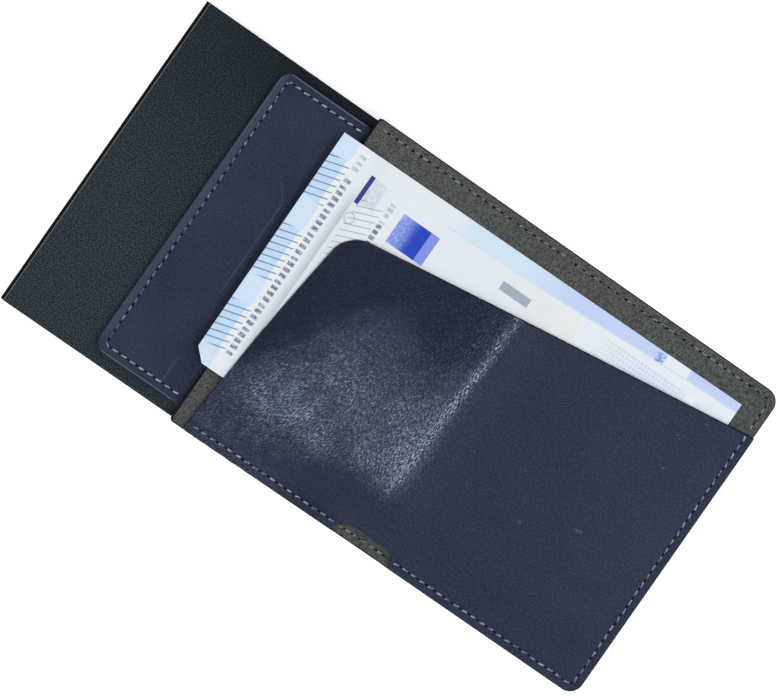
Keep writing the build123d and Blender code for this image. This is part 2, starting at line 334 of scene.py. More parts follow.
def suede_liner():
    piece = section_sheet("suede_liner", 0.35, liner_top, LINER - 0.1, 0.12)
    return halves(piece, SPLIT_U, ("suede_liner_front", "suede_liner_flap_side"))


POCKET_HEIGHT = 84.8


def pocket_outline(s, t):
    """Places on the pocket front: its left edge leans, its top edge slopes, and its bottom seam
    puckers a little."""
    width, height, foot = 131.2, POCKET_HEIGHT, 4.1
    mouth_u, mouth_v = 10.7, 68.2
    p, q = round_corners(s * width, t * height, width, height, (0.6, 4.0, 7.2, 0.4))
    up = q / height
    left = foot + 6.6 * up - 0.9 * np.sin(up * pi)
    u = left + p / width * (SECTION_LENGTH - left)
    top_edge = mouth_v + (u - mouth_u) * (height - mouth_v) / (SECTION_LENGTH - mouth_u)
    v = up * top_edge
    pucker = 0.05 * np.sin(u * 2 * pi / 5.6 + 1) * hump(u, 20, 17) * (1 - smooth(v, 0, 2.5))
    return u, v + pucker


def pocket_front():
    """The pocket front, with its relief notch cut where the section bends."""
    piece, s, t = sheet_grid("pocket_front", 164, 106)
    u, v = pocket_outline(s, t)
    set_points(piece, on_section(u, v, pocket_top(u, v)))
    set_pattern(piece, u, v)
    thicken(piece, POCKET, 0)
    deselect()
    notch_u, notch_width, notch_height = 63.8, 18.4, 4.3
    centre = on_section(np.array([notch_u]), 0.0, 2.0)[0]
    bpy.ops.mesh.primitive_cube_add(size=1, location=centre)
    cutter = bpy.context.object
    cutter.scale = (notch_width * MM, 2 * notch_height * MM, 12 * MM)
    bpy.ops.object.transform_apply(location=True, scale=True)
    for edge in cutter.data.edges:
        ends = [cutter.data.vertices[i].co for i in edge.vertices]
        upright = abs(ends[0].z - ends[1].z) > MM
        edge.select = bool(upright and min(end.y for end in ends) > centre[1])
    modifier = cutter.modifiers.new("corners", "BEVEL")
    modifier.affect, modifier.width, modifier.segments = "EDGES", 3.4 * MM, 10
    modifier.limit_method = "WEIGHT"
    weights = cutter.data.attributes.new("bevel_weight_edge", "FLOAT", "EDGE")
    for edge in cutter.data.edges:
        weights.data[edge.index].value = float(edge.select)
    modify(piece, "BOOLEAN", operation="DIFFERENCE", solver="EXACT", object=cutter)
    bpy.data.objects.remove(cutter)
    round_edges(piece, 0.24)
    round_shading(piece)
    return halves(piece, SPLIT_U, ("pocket_front_main", "pocket_front_flap_side"))


# ---------------------------------------------------------------- the case's patch

PATCH_LEFT, PATCH_LAP, PATCH_BOTTOM, PATCH_TOP = -27.9, 10.8, 4.6, 94.2
PATCH_THICK, PATCH_CORNER = 1.28, 3.5


def patch_top(u, v):
    """The patch's face, which runs on under the section as a skived lap."""
    underside = (HINGE_Z - MID / cos(radians(MIDDLE_SLOPE))
                 - (u - HINGE_U) * np.tan(radians(MIDDLE_SLOPE)) - CASE_TOP_Z)
    face = PATCH_THICK + 0.02
    seam = 0.10 * np.maximum(groove(u, PATCH_LEFT + SEAM_INSET),
                             np.maximum(groove(v, PATCH_BOTTOM + SEAM_INSET),
                                        groove(v, PATCH_TOP - SEAM_INSET)))
    # the print that the pocket front's edge leaves on it when the wallet is closed
    edge_u = -8.2 - 6.5 * smooth(v, 63, 74) ** 2
    imprint = 0.07 * (hump(u, edge_u, 0.9) * smooth(v, 34, 42) * (1 - smooth(v, 70, 74))
                      + 0.7 * hump(u, -7.5, 0.9) * hump(v, 11, 6))
    rolling = 0.03 * np.sin(u / 6 + v / 17) * np.sin(v / 9)
    return np.minimum(face - seam * smooth(u, PATCH_LEFT + 1, PATCH_LEFT + 3) - imprint + rolling,
                      underside - 0.03)


def case_patch():
    width, height = PATCH_LAP - PATCH_LEFT, PATCH_TOP - PATCH_BOTTOM
    piece, s, t = sheet_grid("case_patch", 60, 112)
    p, q = round_corners(s * width, t * height, width, height,
                        (PATCH_CORNER, 0, PATCH_CORNER, 0))
    u, v = p + PATCH_LEFT, q + PATCH_BOTTOM
    set_points(piece, on_case(u, v, patch_top(u, v)))
    set_pattern(piece, u, v)
    skiving = piece.vertex_groups.new(name="skiving")
    share = 1 - 0.66 * smooth(u, 0.5, PATCH_LAP)
    for vertex, weight in enumerate(share):
        skiving.add([vertex], float(weight), "REPLACE")
    thicken(piece, PATCH_THICK, 0.3, vertex_group="skiving", thickness_vertex_group=0.0)
    return halves(piece, HINGE_U, ("case_patch", "fold_lap"))


# ---------------------------------------------------------------- the notes

LARGE = {"name": "large_note", "width": 133.0, "height": 72.0, "lift": 0.0}
SMALL = {"name": "small_note", "width": 120.0, "height": 62.0, "lift": NOTE + 0.04}
SMALL_LEFT = 6.6


def large_place(p, q):
    """The large note lies turned by half a degree, and stands out past the section's edge."""
    turn = radians(0.45)
    u, v = p - LARGE["width"] / 2, q - LARGE["height"] / 2
    return 61.0 + u * cos(turn) - v * sin(turn), 53.8 + u * sin(turn) + v * cos(turn)


def small_place(p, q):
    return SMALL_LEFT + p, 22.3 + q


def note_height(u, v, lift):
    """Paper that rises out of the pocket's mouth and sags past the fold."""
    arch = 0.75 * hump(u, 3.5, 8.5) * (1 - smooth(u, 8, 12)) - 0.9 * (1 - smooth(u, -7, 1.5))
    top = 0.20 * smooth(v, 66, 88) * smooth(u, 14, 30) * (1 - smooth(u, 110, 128))
    wave = 0.05 * np.sin(u / 9 + v / 14)
    return LINER_TOP + NOTE + lift + 0.03 + arch + top + wave * smooth(v, 60, 75)


def paper(note, where, columns, rows, clipped=0.0):
    """A note, with its lower left corner cut off this far along both edges."""
    piece, s, t = sheet_grid(note["name"], columns, rows)
    p, q = s * note["width"], t * note["height"]
    u, v = where(p, q)
    set_points(piece, on_section(u, v, note_height(u, v, note["lift"])))
    set_pattern(piece, p, q)
    if clipped:
        at = np.array([clipped / 2, clipped])
        near, far = (Vector(point) for point in place(*where(at, at), 0))
        edit(piece)
        bpy.ops.mesh.bisect(plane_co=near, plane_no=(far - near).normalized(), clear_inner=True)
        leave_edit()
    thicken(piece, NOTE, 0)
    return piece


def large_note():
    tip, rest = halves(paper(LARGE, large_place, 134, 72, 3.4), HINGE_U,
                       ("large_note_end", "large_note"))
    return tip, *halves(rest, SPLIT_U, ("large_note_front", "large_note_flap_side"))


def small_note():
    return halves(paper(SMALL, small_place, 120, 62), SPLIT_U,
                  ("small_note_front", "small_note_flap_side"))


# ---------------------------------------------------------------- stitching

def stitch_template():
    """One stitch: a thread that rises out of its hole, runs along and dives into the next."""
    deselect()
    bpy.ops.mesh.primitive_cylinder_add(vertices=8, radius=THREAD / 2 * MM, depth=STITCH * MM,
                                        rotation=(0, pi / 2, 0))
    bpy.ops.object.transform_apply(rotation=True)
    piece = bpy.context.object
    piece.name = "stitch"
    edit(piece)
    for share in (-0.42, -0.25, 0, 0.25, 0.42):
        bpy.ops.mesh.select_all(action="SELECT")
        bpy.ops.mesh.bisect(plane_co=(share * STITCH * MM, 0, 0), plane_no=(1, 0, 0))
    leave_edit()
    points = np.array([vertex.co for vertex in piece.data.vertices])
    share = np.abs(points[:, 0]) / (STITCH / 2 * MM)
    slim = 1 - 0.45 * share ** 4
    points[:, 1] *= slim
    points[:, 2] = points[:, 2] * slim * 0.8 + (0.10 - 0.34 * share ** 3) * MM
    set_points(piece, points)
    round_shading(piece, 60)
    return piece


def hole_template():
    """A needle hole: a small dark dish between two stitches, painted as the shade inside the hole.
    """
    deselect()
    bpy.ops.mesh.primitive_uv_sphere_add(segments=10, ring_count=6, radius=0.5 * MM)
    piece = bpy.context.object
    piece.name = "needle_hole"
    piece.scale = (1.10, 0.56, 0.10)
    bpy.ops.object.transform_apply(scale=True)
    round_shading(piece, 60)
    return piece


def seam_steps(path, offset=0.0):
    """Middles of the stitches along a seam line of (u, v) corners, with the ends of each."""
    path = np.array(path, float)
    lengths = np.linalg.norm(np.diff(path, axis=0), axis=1)
    reach = np.concatenate([[0], np.cumsum(lengths)])
    count = max(1, int(round(reach[-1] / PITCH)))
    step = reach[-1] / count
    middles = (np.arange(count) + 0.5) * step + offset
    middles = middles[(middles > STITCH / 2) & (middles < reach[-1] - STITCH / 2 + 0.3)]

    def at(distance):
        return np.stack([np.interp(distance, reach, path[:, k]) for k in (0, 1)], axis=-1)
    return at(middles), at(middles - 0.6), at(middles + 0.6)


def seam_places(path, surface, height, tilt=7, offset=0.0, under=False):
    """A placing matrix for each stitch of a seam that lies on a surface."""
    middles, before, after = seam_steps(path, offset)

    def point(where):
        return surface(where[:, 0], where[:, 1], height(where[:, 0], where[:, 1]))
    centre, start, end = point(middles), point(before), point(after)
    side = middles + np.stack([-(after - before)[:, 1], (after - before)[:, 0]], axis=-1) / 1.2
    side = point(side)
    made = []
    for c, a, b, s in zip(centre, start, end, side):
        x = Vector(b - a).normalized()
        z = x.cross(Vector(s - c)).normalized()
        if under:
            z = -z
        y = z.cross(x)
        turn = Matrix((x, y, z)).transposed().to_4x4()
        made.append(Matrix.Translation(c) @ turn @ Matrix.Rotation(radians(tilt), 4, "Z"))
    return made


def corner(u, v, radius, start, stop):
    """Points round a seam's corner, from one heading in degrees to another."""
    return [(u + radius * cos(radians(a)), v + radius * sin(radians(a)))
            for a in np.linspace(start, stop, 6)]


POCKET_HEAD_V = 84.6
SEAMS = {
    "pocket_bottom": ([(5.4, SEAM_INSET), (54.2, SEAM_INSET)], pocket_top),
    "notch": ([(55.0, SEAM_INSET), (72.8, SEAM_INSET)], liner_top),
    "pocket_flap": ([(73.4, SEAM_INSET), (SECTION_LENGTH - CORNER, SEAM_INSET)]
                    + corner(SECTION_LENGTH - CORNER, CORNER, SEAM_CORNER, -90, 0)
                    + [(RIGHT_SEAM_U, POCKET_HEAD_V)], pocket_top),
    "liner_flap": ([(RIGHT_SEAM_U, POCKET_HEAD_V + 0.6)]
                   + corner(SECTION_LENGTH - CORNER, SECTION_HEIGHT - CORNER, SEAM_CORNER, 0, 90)
                   + [(SPLIT_U + 0.2, TOP_SEAM_V)], liner_top),
    "liner_top": ([(SPLIT_U - 0.2, TOP_SEAM_V), (1.6, TOP_SEAM_V)], liner_top),
}


def underside(u, v):
    """Where the thread lies in the outer leather's underside."""
    return np.full_like(u, 0.14)


def split_path(path, left):
    """The part of a straight seam that lies on one side of the split."""
    (start, v), (end, _) = path[0], path[-1]
    return [(start, v), (SPLIT_U - 0.4, v)] if left else [(SPLIT_U + 0.4, v), (end, v)]


def stitching():
    """All stitches and needle holes, joined into one piece for each stretch that bends as one."""
    stitch, hole = stitch_template(), hole_template()
    notch = SEAMS["notch"][0]
    stretches = {
        "pocket_front": [(SEAMS["pocket_bottom"][0], pocket_top)],
        "liner_front": [(split_path(notch, True), liner_top), (SEAMS["liner_top"][0], liner_top)],
        "pocket_flap_side": [(SEAMS["pocket_flap"][0], pocket_top)],
        "liner_flap_side": [(split_path(notch, False), liner_top),
                            (SEAMS["liner_flap"][0], liner_top)],
    }
    made = {}
    for part, seams in stretches.items():
        places, holes, under = [], [], []
        for path, height in seams:
            places += seam_places(path, on_section, height)
            holes += seam_places(path, on_section, height, tilt=0, offset=PITCH / 2)
            under += seam_places(path, on_section, underside, tilt=-7, under=True)
        made["seam_stitches_" + part] = copies(stitch, places, "seam_stitches_" + part, 8)
        made["needle_holes_" + part] = copies(hole, holes, "needle_holes_" + part)
        made["under_stitches_" + part] = copies(stitch, under, "under_stitches_" + part)
    end, turn_u, radius = -1.2, PATCH_LEFT + PATCH_CORNER, 1.2
    path = ([(end, PATCH_TOP - SEAM_INSET), (turn_u, PATCH_TOP - SEAM_INSET)]
            + corner(turn_u, PATCH_TOP - PATCH_CORNER, radius, 90, 180)
            + corner(turn_u, PATCH_BOTTOM + PATCH_CORNER, radius, 180, 270)
            + [(end, PATCH_BOTTOM + SEAM_INSET)])
    made["patch_stitches"] = copies(
        stitch, seam_places(path, on_case, patch_top), "patch_stitches", 4)
    made["patch_needle_holes"] = copies(
        hole, seam_places(path, on_case, patch_top, tilt=0, offset=PITCH / 2),
        "patch_needle_holes")
    for template in (stitch, hole):
        bpy.data.objects.remove(template)
    return made


# ---------------------------------------------------------------- finishes

class Socket:
    """A shader socket that Python expressions can use."""

    def __init__(self, finish, socket):
        self.finish, self.socket = finish, socket

    def maths(self, operation, *others):
        return self.finish.node("ShaderNodeMath", {"operation": operation}, self, *others)

    def __add__(self, other): return self.maths("ADD", other)
    def __radd__(self, other): return self.maths("ADD", other)
    def __mul__(self, other): return self.maths("MULTIPLY", other)
    def __rmul__(self, other): return self.maths("MULTIPLY", other)
    def __sub__(self, other): return self.maths("SUBTRACT", other)
    def __rsub__(self, other): return (self * -1) + other
    def __truediv__(self, other): return self.maths("DIVIDE", other)
    def __pow__(self, other): return self.maths("POWER", other)

    def capped(self):
        return self.maths("MINIMUM", 1.0)

    def rise(self, low, high):
        """0 below low, 1 above high, with a smooth rise between."""
        return self.finish.node(
            "ShaderNodeMapRange", {"interpolation_type": "SMOOTHSTEP"}, self, low, high, 0.0, 1.0)

    def band(self, low, high, soft):
        """1 between low and high, with soft edges."""
        return self.rise(low - soft, low + soft) * (1 - self.rise(high - soft, high + soft))

    def hump(self, middle, half):
        """A smooth hump, 1 at its middle and 0 beyond its half width."""
        return 1 - (self - middle).maths("ABSOLUTE").rise(0.0, half)

    def repeats(self, pitch, low, high, soft):
        """1 for the share of each pitch between low and high."""
        return (self / pitch).maths("FRACT").band(low, high, soft)


class Finish:
    """One material, built as a Principled shader."""

    def __init__(self, name, **constants):
        self.material = bpy.data.materials.new(name)
        self.material.use_nodes = True
        self.tree = self.material.node_tree
        self.shader = self.tree.nodes["Principled BSDF"]
        for socket, value in constants.items():
            self.shader.inputs[socket.replace("_", " ")].default_value = value

    def join(self, value, socket):
        if isinstance(value, Socket):
            self.tree.links.new(value.socket, socket)
        elif value is not None:
            socket.default_value = value

    def node(self, kind, settings=None, *values, **named):
        made = self.tree.nodes.new(kind)
        for name, value in (settings or {}).items():
            setattr(made, name, value)
        for value, socket in zip(values, made.inputs):
            self.join(value, socket)
        for name, value in named.items():
            self.join(value, made.inputs[name.replace("_", " ")])
        return Socket(self, made.outputs[0])

    def mix(self, factor, first, second):
        made = self.tree.nodes.new("ShaderNodeMix")
        made.data_type = "RGBA"
        self.join(factor, made.inputs[0])
        self.join(colour(first), made.inputs[6])
        self.join(colour(second), made.inputs[7])
        return Socket(self, made.outputs[2])

    def place(self, size=1, heading=0, output="Object"):
        """Coordinates in steps of this many millimetres, or of one size for each axis, the first
        of them along a heading in degrees. The output UV gives a sheet's own coordinates, which
        bend with it."""
        source = self.tree.nodes.new("ShaderNodeTexCoord").outputs[output]
        unit = MM if output == "Object" else 0.1
        sizes = size if isinstance(size, tuple) else (size, size, size)
        return self.node("ShaderNodeMapping", {"vector_type": "TEXTURE"}, Socket(self, source),
                         Rotation=(0, 0, radians(heading)), Scale=[unit * k for k in sizes])

    def noise(self, where, detail=3.0, roughness=0.55, distortion=0.0):
        return self.node("ShaderNodeTexNoise", None, Vector=where, Scale=1.0, Detail=detail,
                         Roughness=roughness, Distortion=distortion)

    def cells(self, where):
        return self.node("ShaderNodeTexVoronoi", {"feature": "SMOOTH_F1"}, Vector=where, Scale=1.0)

    def axes(self, where):
        made = self.tree.nodes.new("ShaderNodeSeparateXYZ")
        self.join(where, made.inputs[0])
        return [Socket(self, out) for out in made.outputs]

    def bump(self, height, distance):
        """height is from 0 to 1, and distance is its depth in millimetres."""
        bump = self.node("ShaderNodeBump", None, Height=height, Distance=distance * MM)
        self.join(bump, self.shader.inputs["Normal"])

    def paint(self, **sockets):
        for name, value in sockets.items():
            self.join(value, self.shader.inputs[name.replace("_", " ")])


def colour(value):
    return (*value, 1.0) if isinstance(value, tuple) and len(value) == 3 else value


def scaled(tint, share):
    return tuple(share * k for k in tint)


NAVY, NAVY_DEEP = (0.0205, 0.0280, 0.0540), (0.0110, 0.0160, 0.0350)
# the rubbed navy is also used for a painted highlight along the pocket's bottom seam
NAVY_WORN, NAVY_RUBBED_AND_HIGHLIGHT = (0.0300, 0.0375, 0.0660), (0.0850, 0.1000, 0.1500)


def leather_grain(finish):
    """Fine pebbled grain with its pores, and soft clouds in the dye."""
    pebble = finish.cells(finish.place((0.75, 0.55, 0.75), 66, "UV"))
    pores = finish.noise(finish.place((0.42, 0.34, 0.42), 66, "UV"), 3)
    clouds = finish.noise(finish.place(22, 0, "UV"), 4, 0.6)
    return pebble * 0.5 + pores * 0.5, pores, clouds


def pocket_leather():
    """Waxed leather that use has polished and wrinkled, most where the front bends round the
    case. The polish lies on the ridges of the wrinkles, so it shows as fine bright flecks. The
    edge by the mouth is raw near its corner and painted further on."""
    finish = Finish("navy_pocket_leather", Specular_IOR_Level=0.10, Coat_Roughness=0.25,
                    Coat_IOR=1.75)
    u, v, _ = finish.axes(finish.place(output="UV"))
    grain, _, clouds = leather_grain(finish)
    across_it = finish.noise(finish.place((1.35, 0.25, 1), 58, "UV"), 1, 0.5, 0.1)
    fine = finish.noise(finish.place((0.80, 0.18, 1), 70, "UV"), 1, 0.5, 0.1)
    along_fold = finish.noise(finish.place((1.30, 0.26, 1), 92, "UV"), 1, 0.5, 0.1)
    patchy = finish.noise(finish.place((9, 4, 5), 60, "UV"), 3, 0.6)

    # the wrinkles run across the front at its left and along the fold near it
    by_fold = u.rise(30, 58)
    wide = across_it * (1 - by_fold) + along_fold * by_fold
    ridges = (wide * 0.55 + fine * 0.45).rise(0.475, 0.60) ** 1.3
    edge = (u - 6) - (v - 20) / 1.75 + (patchy - 0.5) * 14
    front = edge.rise(-6, 20) * (1 - u.rise(59, 68)) * (v - (u - 10) * 0.24 - 1).rise(0, 8)
    front = front * (1 - v.rise(26, 60) * 0.92) * (0.35 + patchy.rise(0.3, 0.7) * 0.65)
    bend = u - v * 0.045
    crease = bend.hump(60.4, 2.2) * v.rise(10, 24) * (0.20 + patchy.rise(0.3, 0.6) * 0.45)
    crease = crease * (0.3 + along_fold.rise(0.45, 0.60) * 1.2)
    crease = crease + bend.hump(58.5, 7.5) * (v.hump(28, 22) * 0.40 + v.rise(40, 50) * 0.10)
    low_left = u.hump(21, 19) * v.hump(17, 14) * 0.30
    scuffs = finish.noise(finish.place((7, 2.2, 1), 12, "UV"), 2).rise(0.70, 0.76) * u.rise(64, 72)
    polish = front * 0.66 + low_left + crease + scuffs * 0.60 + 0.04
    sheen = (polish * (0.10 + ridges * 0.90)).capped()
    wrinkled = 0.30 + (front * 1.2 + crease).capped() * 0.70

    # painted shade: the dye is darkened across the top of the front, over its upper left, in the
    # hollow left of the fold and along its bottom edge at the left
    shade = u.hump(50, 14) * v.rise(36, 56) + v.rise(50, 66) * (1 - u.rise(58, 70)) * 0.9
    shade = shade + (1 - edge.rise(-4, 8)) * v.rise(14, 30) * (1 - u.rise(30, 40))
    shade = (shade + (1 - v.rise(3, 9)) * (1 - u.rise(46, 56)) * 0.4).capped()
    dye = finish.mix(clouds.rise(0.3, 0.7) * 0.5, NAVY, NAVY_WORN)
    dye = finish.mix(shade * 0.92, dye, (0.0050, 0.0085, 0.0230))
    # painted shade: the leather between the ridges of the wrinkles is darkened
    dye = finish.mix((1 - ridges) * wrinkled * 0.75, dye, scaled(NAVY_DEEP, 0.45))
    specks = finish.noise(finish.place((0.70, 0.34, 1), 62, "UV"), 2, 0.65)
    dye = finish.mix(specks.rise(0.46, 0.66) * (1 - shade * 0.8) * 0.30, dye, NAVY_RUBBED_AND_HIGHLIGHT)
    # painted highlight: light bluish streaks just above the bottom seam at the left
    seam = (1 - v.rise(2.5, 7.5)) * u.rise(2, 9) * (1 - u.rise(26, 44))
    dye = finish.mix(seam * fine.rise(0.50, 0.62) * 0.8, dye, NAVY_RUBBED_AND_HIGHLIGHT)
    imprint = (u - v * 0.02).hump(127.8, 0.35) * v.band(22, 35, 1.5)
    dye = finish.mix(imprint * 0.4, dye, NAVY_WORN)
    head = (v - u * 0.1332).rise(66.40, 66.62)
    raw = finish.mix(u.rise(28, 36), (0.075, 0.034, 0.022), (0.0035, 0.0037, 0.0060))
    finish.paint(Base_Color=finish.mix(head, dye, raw), Roughness=0.48 + 0.10 * grain,
                 Coat_Weight=sheen * (1 - head))
    finish.bump(grain * 0.35 + ridges * wrinkled * 0.65, 0.10)
    return finish


def plain_leather(name, dye, worn, gloss):
    """Smoother leather, with its coordinates, its tone and its grain still to be finished."""
    finish = Finish(name, Specular_IOR_Level=0.12)
    u, v, _ = finish.axes(finish.place(output="UV"))
    grain, pores, clouds = leather_grain(finish)
    lines = finish.noise(finish.place((14, 0.5, 1), 84, "UV"), 3, 0.6, 0.4).rise(0.60, 0.75)
    tone = finish.mix(clouds.rise(0.35, 0.7), dye, worn)
    specks = finish.noise(finish.place((0.8, 0.5, 1), 66, "UV"), 2, 0.65)
    tone = finish.mix((specks.rise(0.48, 0.66) + lines * 0.5) * 0.28, tone,
                      scaled(worn, 2.2))
    tone = finish.mix(1 - pores.rise(0.30, 0.50), tone, scaled(dye, 0.5))
    finish.paint(Roughness=gloss + 0.12 * grain)
    finish.bump(grain, 0.08)
    return finish, u, v, tone


def patch_leather():
    """The case's patch: its left margin is lighter, and the closed pocket front has printed the
    line of its edge into it. Light lines along its edges are a painted highlight."""
    finish, u, v, tone = plain_leather("navy_patch_leather", NAVY, NAVY_WORN, 0.46)
    margin = 1 - u.rise(PATCH_LEFT + 1.5, PATCH_LEFT + 2.1)
    tone = finish.mix(margin * v.rise(6, 12) * 0.42, tone, (0.070, 0.092, 0.150))
    line = (u + v.rise(63, 74) * 6.5).hump(-8.2, 0.45) * v.band(36, 69, 3)
    low_line = u.hump(-7.5, 0.4) * v.band(7, 15, 1)
    tone = finish.mix(line * 0.25 + low_line * 0.25, tone, (0.110, 0.125, 0.185))
    # painted highlight: light lines along the top, bottom and left edges, where the painted edge
    # catches the light
    rim_highlight = v.band(PATCH_TOP - 0.42, PATCH_TOP - 0.18, 0.08)
    rim_highlight = (rim_highlight + v.band(PATCH_BOTTOM + 0.12, PATCH_BOTTOM + 0.36, 0.08)) * (1 - u.rise(-3, -1))
    rim_highlight = rim_highlight + u.band(PATCH_LEFT + 0.18, PATCH_LEFT + 0.40, 0.08) * v.rise(60, 80) * 0.5
    finish.paint(Base_Color=finish.mix(rim_highlight * 0.6, tone, (0.200, 0.205, 0.240)))
    return finish


def outer_finish():
    """The section's outside, with its edges painted nearly black."""
    finish, u, v, tone = plain_leather("navy_outer_leather", NAVY_DEEP, NAVY, 0.50)
    inside = (u.band(0.425, SECTION_LENGTH - 0.425, 0.075)
              * v.band(0.425, SECTION_HEIGHT - 0.425, 0.075))
    finish.paint(Base_Color=finish.mix(inside, (0.0030, 0.0032, 0.0045), tone))
    return finish


def suede_finish():
    """Grey microfibre suede: a short speckled nap that lies in different directions."""
    suede = Finish("grey_suede", Roughness=0.95, Specular_IOR_Level=0.2, Sheen_Weight=0.10,
                   Sheen_Roughness=0.5)
    nap = suede.noise(suede.place(0.62), 4, 0.72)
    speck = suede.noise(suede.place(0.34), 2, 0.7)
    drift = suede.noise(suede.place(11), 4, 0.6)
    shade = suede.mix(nap.rise(0.36, 0.64), (0.022, 0.024, 0.022), (0.118, 0.123, 0.117))
    shade = suede.mix(speck.rise(0.50, 0.66) * 0.60, shade, (0.200, 0.202, 0.190))
    suede.paint(Base_Color=suede.mix(drift.rise(0.3, 0.7) * 0.35, shade, (0.050, 0.052, 0.048)))
    suede.bump(nap * 0.7 + speck * 0.3, 0.16)
    return suede


def metal_finish():
    """Bead-blasted anodised aluminium. The walls of the tube are painted near black as shade, the
    front is painted darker towards its top right as shade, and a light line along its edge is a
    painted highlight.
    """
    metal = Finish("blasted_anodised_aluminium", Specular_IOR_Level=0.0)
    x, y, z = metal.axes(metal.place())
    grit = metal.noise(metal.place(0.40), 3, 0.75)
    fine = metal.noise(metal.place(0.20), 2, 0.6)
    drift = metal.noise(metal.place(26), 3, 0.6)
    tint = metal.mix(grit.rise(0.38, 0.62), (0.0080, 0.0125, 0.0165), (0.0600, 0.0760, 0.0930))
    # painted shade: the front darkens towards +x and +y, with random clouds of tone on top
    tone = ((x * 0.55 + y) / 90 + 0.72).rise(0.05, 1.25) * 0.80 + (drift - 0.5) * 0.3
    tint = metal.mix(tone, tint, (0.0060, 0.0080, 0.0115))
    # painted shade: below the front, the walls of the tube are painted near black further down
    wall = 1 - z.rise(7.55, 7.75)
    # painted highlight: a light line along the rounded edge of the front
    rim_highlight = z.band(7.66, 7.90, 0.05)
    tint = metal.mix(rim_highlight * 0.75, tint, (0.26, 0.27, 0.31))
    # painted shade on the walls
    tint = metal.mix(wall, tint, metal.mix(grit, (0.0035, 0.0038, 0.0045), (0.010, 0.011, 0.013)))
    metal.paint(Base_Color=tint, Roughness=0.52 + 0.22 * fine, Metallic=(1 - wall) * 0.35)
    metal.bump(grit * 0.6 + fine * 0.4, 0.07)
    return metal


def thread_finish(name, light, dark):
    thread = Finish(name, Roughness=0.65, Specular_IOR_Level=0.3)
    wear = thread.noise(thread.place(1.1), 3)
    twist = thread.noise(thread.place((0.30, 0.16, 0.2), 35), 1)
    shade = thread.mix(wear.rise(0.35, 0.65), light, dark)
    thread.paint(Base_Color=thread.mix(twist.rise(0.4, 0.6) * 0.45, shade,
                                       scaled(dark, 0.35)))
    thread.bump(twist, 0.05)
    return thread


def patch_thread():
    """The patch's thread, darker down the left side."""
    thread = thread_finish("waxed_patch_thread", (0.48, 0.51, 0.63), (0.20, 0.23, 0.33))
    x, _, _ = thread.axes(thread.place())
    column = place(PATCH_LEFT + SEAM_INSET, 0, 0)[0] / MM
    fleck = thread.noise(thread.place(1.6), 2).rise(0.44, 0.60)
    dark = (1 - x.rise(column + 0.4, column + 1.0)) * (1 - fleck * 0.75)
    light = thread.shader.inputs["Base Color"].links[0].from_socket
    thread.paint(Base_Color=thread.mix(dark * 0.85, Socket(thread, light),
                                       (0.030, 0.040, 0.075)))
    return thread


def make_finishes():
    # painted shade: the needle holes are near black
    hole = Finish("needle_hole", Roughness=0.9, Specular_IOR_Level=0.1)
    hole.paint(Base_Color=hole.mix(hole.noise(hole.place(0.4)),
                                   (0.0010, 0.0012, 0.0022), (0.004, 0.004, 0.006)))

    plastic = Finish("moulded_plastic", Roughness=0.55)
    grain = plastic.noise(plastic.place(0.2), 2)
    plastic.paint(Base_Color=plastic.mix(grain, (0.012, 0.012, 0.013), (0.022, 0.022, 0.024)))
    plastic.bump(grain, 0.04)

    steel = Finish("plain_steel", Metallic=1.0)
    lines = steel.noise(steel.place((6, 0.15, 0.15)), 3)
    steel.paint(Base_Color=steel.mix(lines, (0.36, 0.36, 0.37), (0.52, 0.52, 0.53)),
                Roughness=0.28 + 0.2 * lines)

    felt = Finish("black_felt", Roughness=1.0, Sheen_Weight=0.2)
    fluff = felt.noise(felt.place(0.25), 5, 0.7)
    felt.paint(Base_Color=felt.mix(fluff, (0.01, 0.01, 0.012), (0.05, 0.05, 0.055)))
    felt.bump(fluff, 0.1)

    made = {
        "pocket": pocket_leather(),
        "patch": patch_leather(),
        "outer": outer_finish(),
        "suede": suede_finish(),
        "metal": metal_finish(),
        "thread": thread_finish("waxed_thread", (0.42, 0.46, 0.58), (0.10, 0.12, 0.19)),
        "patch_thread": patch_thread(),
        "napped_thread": thread_finish("thread_on_suede", (0.30, 0.31, 0.31),
                                       (0.05, 0.053, 0.053)),
        "hole": hole, "plastic": plastic, "steel": steel, "felt": felt,
        "large": large_print(), "small": small_print(),
    }
    return {name: finish.material for name, finish in made.items()}


PAPER = (0.855, 0.875, 0.900)


def paper_base(name):
    """White cotton paper with its own coordinates, in millimetres from its lower left corner."""
    finish = Finish(name, Roughness=0.62, Specular_IOR_Level=0.3)
    across, up, _ = finish.axes(finish.place(output="UV"))
    fibre = finish.noise(finish.place(0.45), 5, 0.65)
    finish.bump(fibre, 0.03)
    here = finish.mix(fibre.rise(0.3, 0.8) * 0.3, PAPER, (0.66, 0.70, 0.76))
    return finish, across, up, here


def block(across, up, left, right, low, high, soft=0.08):
    """1 on a rectangle of a note."""
    return across.band(left, right, soft) * up.band(low, high, soft)


